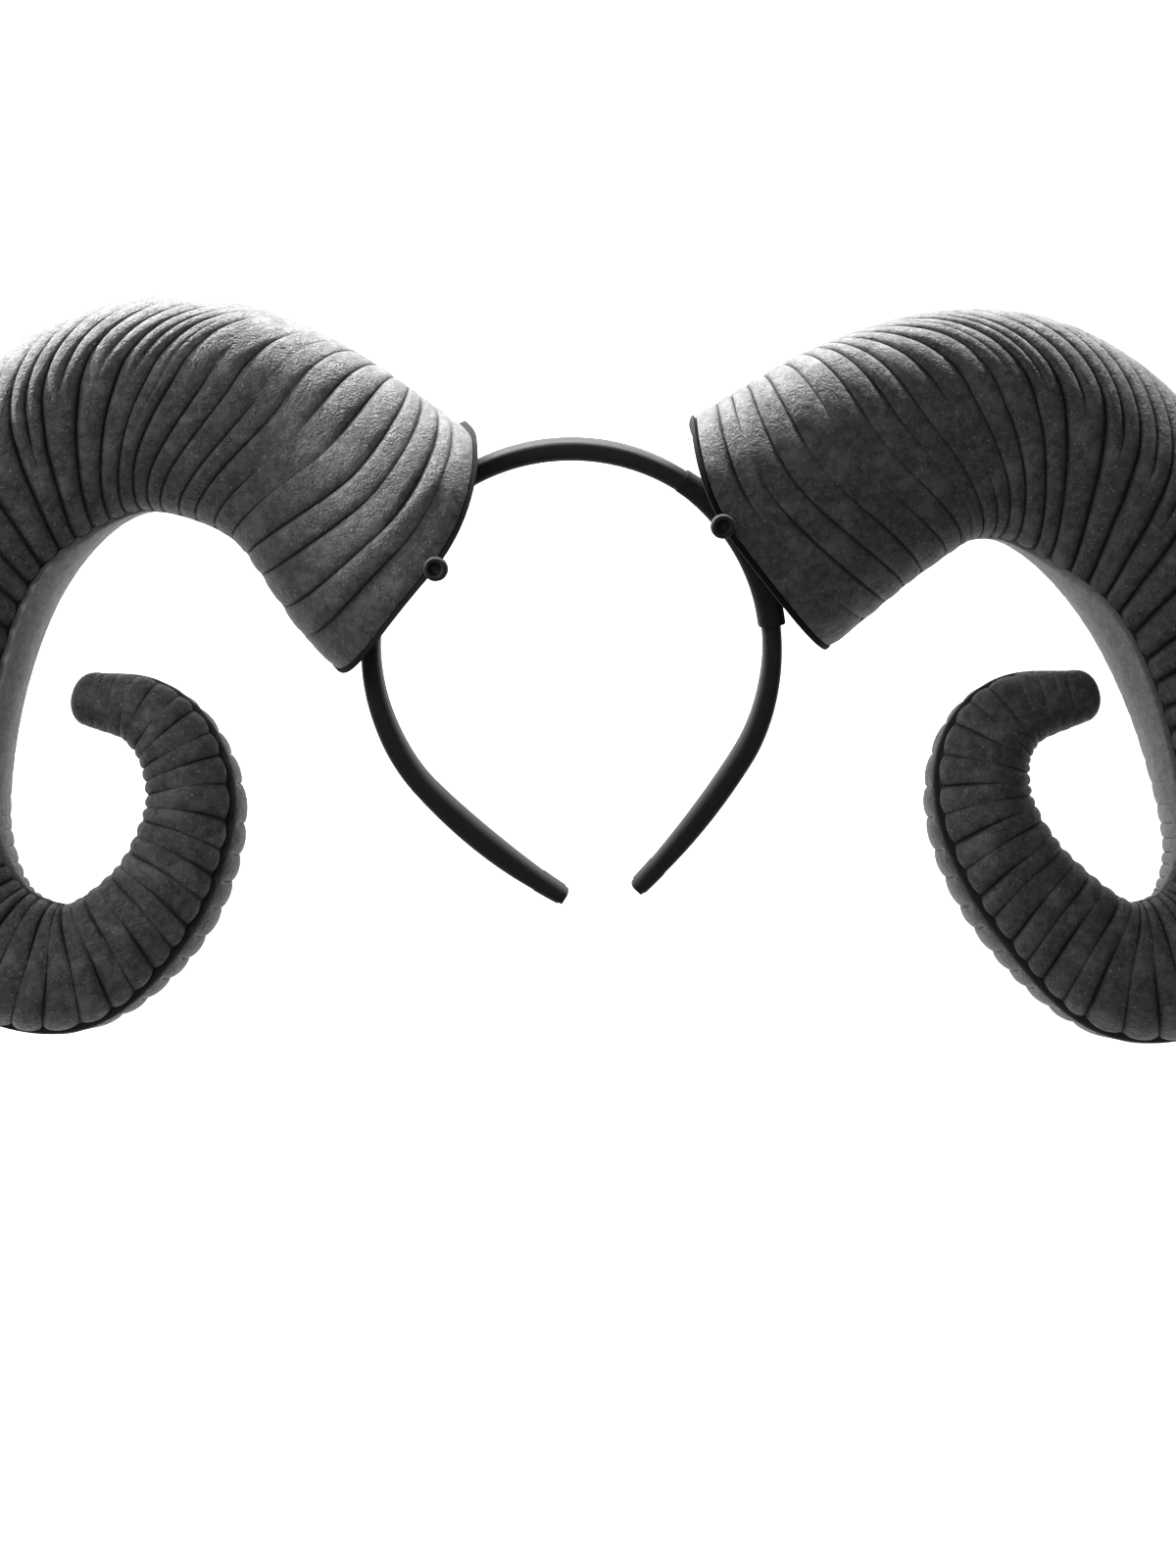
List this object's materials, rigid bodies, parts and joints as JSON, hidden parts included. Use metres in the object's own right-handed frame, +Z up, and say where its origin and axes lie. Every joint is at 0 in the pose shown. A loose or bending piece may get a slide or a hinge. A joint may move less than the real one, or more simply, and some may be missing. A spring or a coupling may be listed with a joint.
{
  "type": "ram horns headband",
  "caption": "Slim padded hair band carrying a pair of hollow, ribbed, spiral foam ram horns, lying on its back.",
  "frame": {"origin": "middle of the object's box on the surface that it lies on", "axes": "+X across from horn to horn, to the right as seen from in front; +Y from the band's ends toward its crown; +Z up, out of the front of the horns"},
  "size_m": [0.4342, 0.2148, 0.0714],
  "materials": {
    "horn_foam": "matte black moulded foam with a fine leathery grain",
    "band_cloth": "black satin cloth wrapped over a slim padded band",
    "pad_foam": "black felt-like foam sheet",
    "ribbon": "narrow black ribbon"
  },
  "bodies": {
    "root": {"headband": "band_cloth", "end_wrap_left": "band_cloth", "end_wrap_right": "band_cloth", "horn_left_front_shell": "horn_foam", "horn_left_back_shell": "horn_foam", "base_pad_left": "pad_foam", "band_sleeve_left": "pad_foam", "pin_loop_left": "ribbon", "horn_right_front_shell": "horn_foam", "horn_right_back_shell": "horn_foam", "base_pad_right": "pad_foam", "band_sleeve_right": "pad_foam", "pin_loop_right": "ribbon"}
  },
  "joints": []
}
